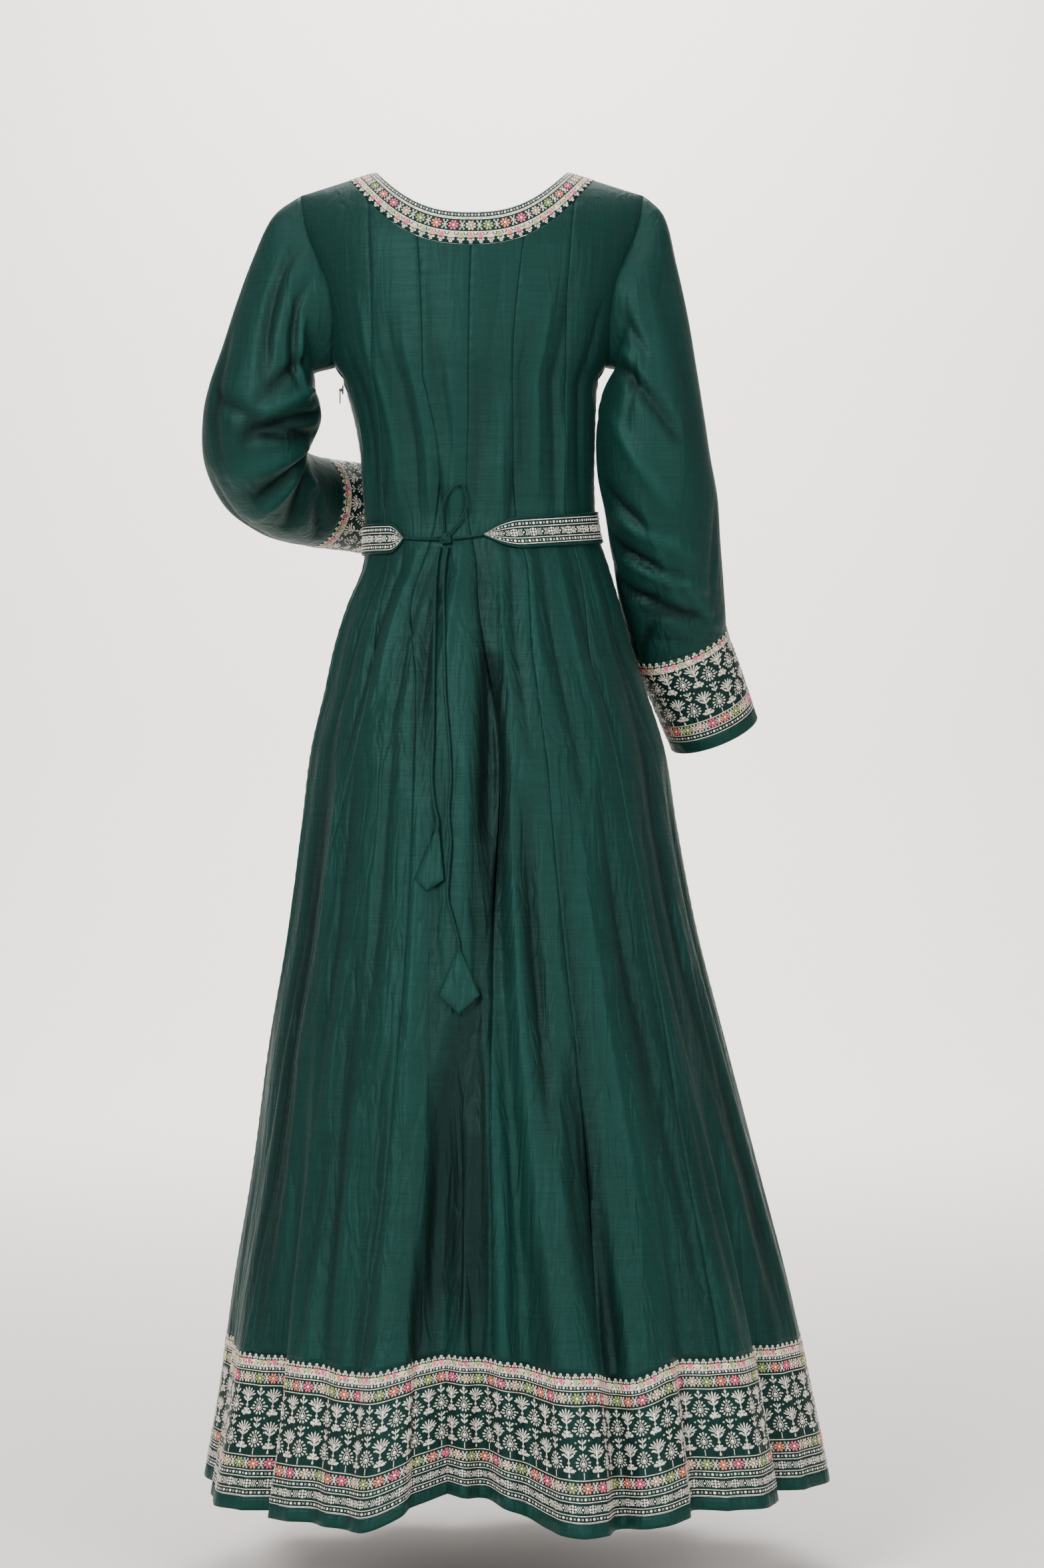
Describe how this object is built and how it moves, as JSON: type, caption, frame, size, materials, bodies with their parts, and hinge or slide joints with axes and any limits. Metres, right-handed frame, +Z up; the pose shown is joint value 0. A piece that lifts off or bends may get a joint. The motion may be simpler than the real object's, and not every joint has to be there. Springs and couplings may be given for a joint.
{
  "type": "anarkali gown",
  "caption": "Full-length flared silk gown of twelve panels with long sleeves, embroidered borders and a tied back belt, in its worn form.",
  "frame": {"origin": "between the shoulders at the level of the neck's shoulder ends, where the wearer holds the gown up", "axes": "+Z up along the gown's length, the front faces -Y, the wearer's left is +X"},
  "size_m": [0.6467, 0.5766, 1.3384],
  "materials": {
    "silk": "green silk with a soft sheen and fine cross slubs",
    "embroidered_band": "green silk covered with silver thread, crystals and coloured flowers",
    "silk_strip": "plain green silk strip",
    "tie_cord": "thin green silk cord",
    "zip_metal": "dark lacquered metal"
  },
  "bodies": {
    "gown": {"back_kali_1": "silk", "back_kali_2": "silk", "back_kali_3": "silk", "back_kali_4": "silk", "back_kali_5": "silk", "back_kali_6": "silk", "front_kali_1": "silk", "front_kali_2": "silk", "front_kali_3": "silk", "front_kali_4": "silk", "front_kali_5": "silk", "front_kali_6": "silk", "sleeve_left": "silk", "sleeve_right": "silk", "cuff_border_left": "embroidered_band", "cuff_border_right": "embroidered_band", "cuff_edge_left": "silk_strip", "cuff_edge_right": "silk_strip", "neck_border": "embroidered_band", "hem_border": "embroidered_band", "hem_edge": "silk_strip", "belt": "embroidered_band", "tie_cord_left": "tie_cord", "tie_cord_right": "tie_cord", "tie_knot": "tie_cord", "tie_loop": "tie_cord", "tie_strand_left": "tie_cord", "tie_strand_right": "tie_cord", "tie_kite_left": "silk_strip", "tie_kite_right": "silk_strip", "zip_slider": "zip_metal"},
    "zip_pull": {"zip_pull": "zip_metal"}
  },
  "joints": [
    {"name": "zip_pull_swing", "type": "hinge", "parent": "gown", "child": "zip_pull", "pos_m": [0.13532, 0, -0.219], "axis": [0, -1, 0], "range_deg": [0, 120]}
  ]
}
